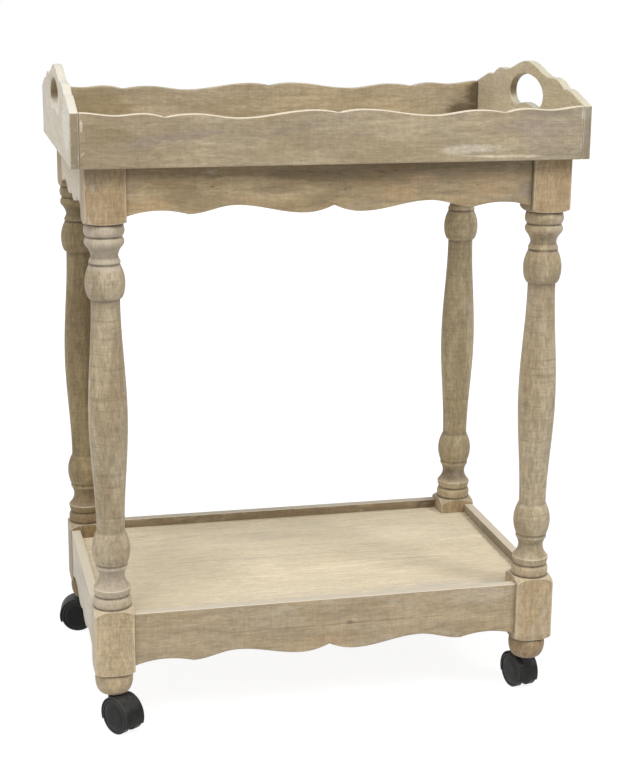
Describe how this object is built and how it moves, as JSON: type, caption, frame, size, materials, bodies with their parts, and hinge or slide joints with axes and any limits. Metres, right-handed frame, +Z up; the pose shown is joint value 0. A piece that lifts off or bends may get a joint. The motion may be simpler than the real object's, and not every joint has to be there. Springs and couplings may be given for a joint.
{
  "type": "serving trolley",
  "caption": "Wooden serving trolley: turned legs, scalloped aprons, a lower shelf, swivel castors and a lift-off tray with hand holes.",
  "frame": {"origin": "on the floor, midway between the four legs", "axes": "+Z up, +X along the trolley's length to its right end, -Y towards its front"},
  "size_m": [0.5263, 0.3446, 0.6798],
  "materials": {
    "weathered_wood": "grey-brown weathered boards, matt, with white wash left in the grain",
    "turned_wood": "tan weathered turned wood, matt, with white wash left in the grooves",
    "shelf_wood": "pale cream-tan boards, matt",
    "tray_wood": "grey-brown weathered boards with pale worn edges, matt",
    "plain_wood": "plain sawn wood, matt",
    "castor_plastic": "dark charcoal moulded plastic, satin",
    "steel": "plated steel, satin"
  },
  "bodies": {
    "frame": {"leg_front_left": "turned_wood", "leg_front_right": "turned_wood", "leg_rear_left": "turned_wood", "leg_rear_right": "turned_wood", "top_apron_front": "weathered_wood", "top_apron_rear": "weathered_wood", "top_apron_left": "weathered_wood", "top_apron_right": "weathered_wood", "lower_apron_front": "weathered_wood", "lower_apron_rear": "weathered_wood", "lower_apron_left": "weathered_wood", "lower_apron_right": "weathered_wood", "corner_brace_front_left": "plain_wood", "corner_brace_front_right": "plain_wood", "corner_brace_rear_left": "plain_wood", "corner_brace_rear_right": "plain_wood", "shelf_batten_front": "plain_wood", "shelf_batten_rear": "plain_wood", "shelf_batten_left": "plain_wood", "shelf_batten_right": "plain_wood", "shelf_board_1": "shelf_wood", "shelf_board_2": "shelf_wood", "shelf_board_3": "shelf_wood", "castor_socket_front_left": "steel", "castor_socket_front_right": "steel", "castor_socket_rear_left": "steel", "castor_socket_rear_right": "steel"},
    "tray": {"tray_rail_front": "tray_wood", "tray_rail_rear": "tray_wood", "tray_end_left": "tray_wood", "tray_end_right": "tray_wood", "tray_base": "shelf_wood"},
    "castor_front_left": {"castor_hood_front_left": "castor_plastic", "castor_stem_front_left": "steel", "castor_axle_front_left": "steel"},
    "castor_front_right": {"castor_hood_front_right": "castor_plastic", "castor_stem_front_right": "steel", "castor_axle_front_right": "steel"},
    "castor_rear_left": {"castor_hood_rear_left": "castor_plastic", "castor_stem_rear_left": "steel", "castor_axle_rear_left": "steel"},
    "castor_rear_right": {"castor_hood_rear_right": "castor_plastic", "castor_stem_rear_right": "steel", "castor_axle_rear_right": "steel"},
    "wheel_front_left_a": {"castor_wheel_front_left_a": "castor_plastic"},
    "wheel_front_left_b": {"castor_wheel_front_left_b": "castor_plastic"},
    "wheel_front_right_a": {"castor_wheel_front_right_a": "castor_plastic"},
    "wheel_front_right_b": {"castor_wheel_front_right_b": "castor_plastic"},
    "wheel_rear_left_a": {"castor_wheel_rear_left_a": "castor_plastic"},
    "wheel_rear_left_b": {"castor_wheel_rear_left_b": "castor_plastic"},
    "wheel_rear_right_a": {"castor_wheel_rear_right_a": "castor_plastic"},
    "wheel_rear_right_b": {"castor_wheel_rear_right_b": "castor_plastic"}
  },
  "joints": [
    {"name": "tray_lift", "type": "slide", "parent": "frame", "child": "tray", "axis": [0, 0, 1], "range_m": [0, 0.15]},
    {"name": "swivel_front_left", "type": "hinge", "parent": "frame", "child": "castor_front_left", "pos_m": [-0.228, -0.138, 0.042], "axis": [0, 0, 1], "continuous": true},
    {"name": "swivel_front_right", "type": "hinge", "parent": "frame", "child": "castor_front_right", "pos_m": [0.228, -0.138, 0.042], "axis": [0, 0, 1], "continuous": true},
    {"name": "swivel_rear_left", "type": "hinge", "parent": "frame", "child": "castor_rear_left", "pos_m": [-0.228, 0.138, 0.042], "axis": [0, 0, 1], "continuous": true},
    {"name": "swivel_rear_right", "type": "hinge", "parent": "frame", "child": "castor_rear_right", "pos_m": [0.228, 0.138, 0.042], "axis": [0, 0, 1], "continuous": true},
    {"name": "roll_front_left_a", "type": "hinge", "parent": "castor_front_left", "child": "wheel_front_left_a", "pos_m": [-0.22103, -0.14874, 0.019], "axis": [0.8387, 0.5446, 0], "continuous": true},
    {"name": "roll_front_left_b", "type": "hinge", "parent": "castor_front_left", "child": "wheel_front_left_b", "pos_m": [-0.22103, -0.14874, 0.019], "axis": [0.8387, 0.5446, 0], "continuous": true},
    {"name": "roll_front_right_a", "type": "hinge", "parent": "castor_front_right", "child": "wheel_front_right_a", "pos_m": [0.22556, -0.12543, 0.019], "axis": [-0.9816, -0.1908, 0], "continuous": true},
    {"name": "roll_front_right_b", "type": "hinge", "parent": "castor_front_right", "child": "wheel_front_right_b", "pos_m": [0.22556, -0.12543, 0.019], "axis": [-0.9816, -0.1908, 0], "continuous": true},
    {"name": "roll_rear_left_a", "type": "hinge", "parent": "castor_rear_left", "child": "wheel_rear_left_a", "pos_m": [-0.24064, 0.14, 0.019], "axis": [-0.1564, -0.9877, 0], "continuous": true},
    {"name": "roll_rear_left_b", "type": "hinge", "parent": "castor_rear_left", "child": "wheel_rear_left_b", "pos_m": [-0.24064, 0.14, 0.019], "axis": [-0.1564, -0.9877, 0], "continuous": true},
    {"name": "roll_rear_right_a", "type": "hinge", "parent": "castor_rear_right", "child": "wheel_rear_right_a", "pos_m": [0.23849, 0.14534, 0.019], "axis": [-0.5736, 0.8192, 0], "continuous": true},
    {"name": "roll_rear_right_b", "type": "hinge", "parent": "castor_rear_right", "child": "wheel_rear_right_b", "pos_m": [0.23849, 0.14534, 0.019], "axis": [-0.5736, 0.8192, 0], "continuous": true}
  ]
}
